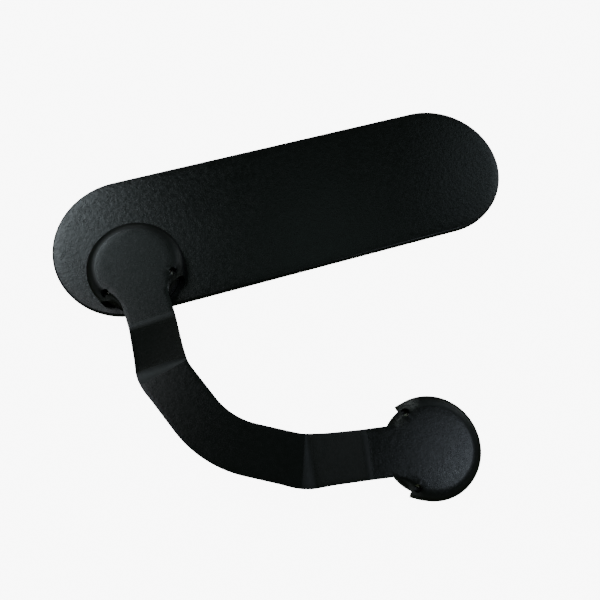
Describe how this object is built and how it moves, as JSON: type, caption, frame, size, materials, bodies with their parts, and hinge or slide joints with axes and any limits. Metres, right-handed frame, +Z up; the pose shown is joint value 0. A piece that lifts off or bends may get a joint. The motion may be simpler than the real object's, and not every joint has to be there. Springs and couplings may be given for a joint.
{
  "type": "twin-cup magnet strap with keeper plate",
  "caption": "Pressed steel strap with a magnet cup at each end and a raised curved finger bridge, one cup parked on a flat obround steel keeper plate.",
  "frame": {"origin": "centre of the keeper plate's flat bottom face", "axes": "+X along the keeper plate's length, +Z up out of the plate towards the cups, +Y away from the far cup"},
  "size_m": [0.1634, 0.1336, 0.0207],
  "materials": {
    "plate_coat": "coarse black powder coat, low gloss",
    "strap_coat": "smooth black powder coat, satin",
    "nickel": "bright nickel plate",
    "epoxy": "black cast epoxy",
    "adhesive": "dull cured adhesive"
  },
  "bodies": {
    "plate": {"keeper_plate": "plate_coat"},
    "near_core": {"near_magnet": "nickel", "near_potting_ring": "epoxy", "near_glue_disc": "adhesive"},
    "strap": {"cup_strap": "strap_coat", "far_magnet": "nickel", "far_potting_ring": "epoxy", "far_glue_disc": "adhesive"}
  },
  "joints": [
    {"name": "lift_off", "type": "slide", "parent": "plate", "child": "near_core", "axis": [0, 0, 1], "range_m": [0, 0.06]},
    {"name": "swivel", "type": "hinge", "parent": "near_core", "child": "strap", "pos_m": [-0.05494, -0.01042, 0.0023], "axis": [0, 0, 1], "continuous": true}
  ]
}
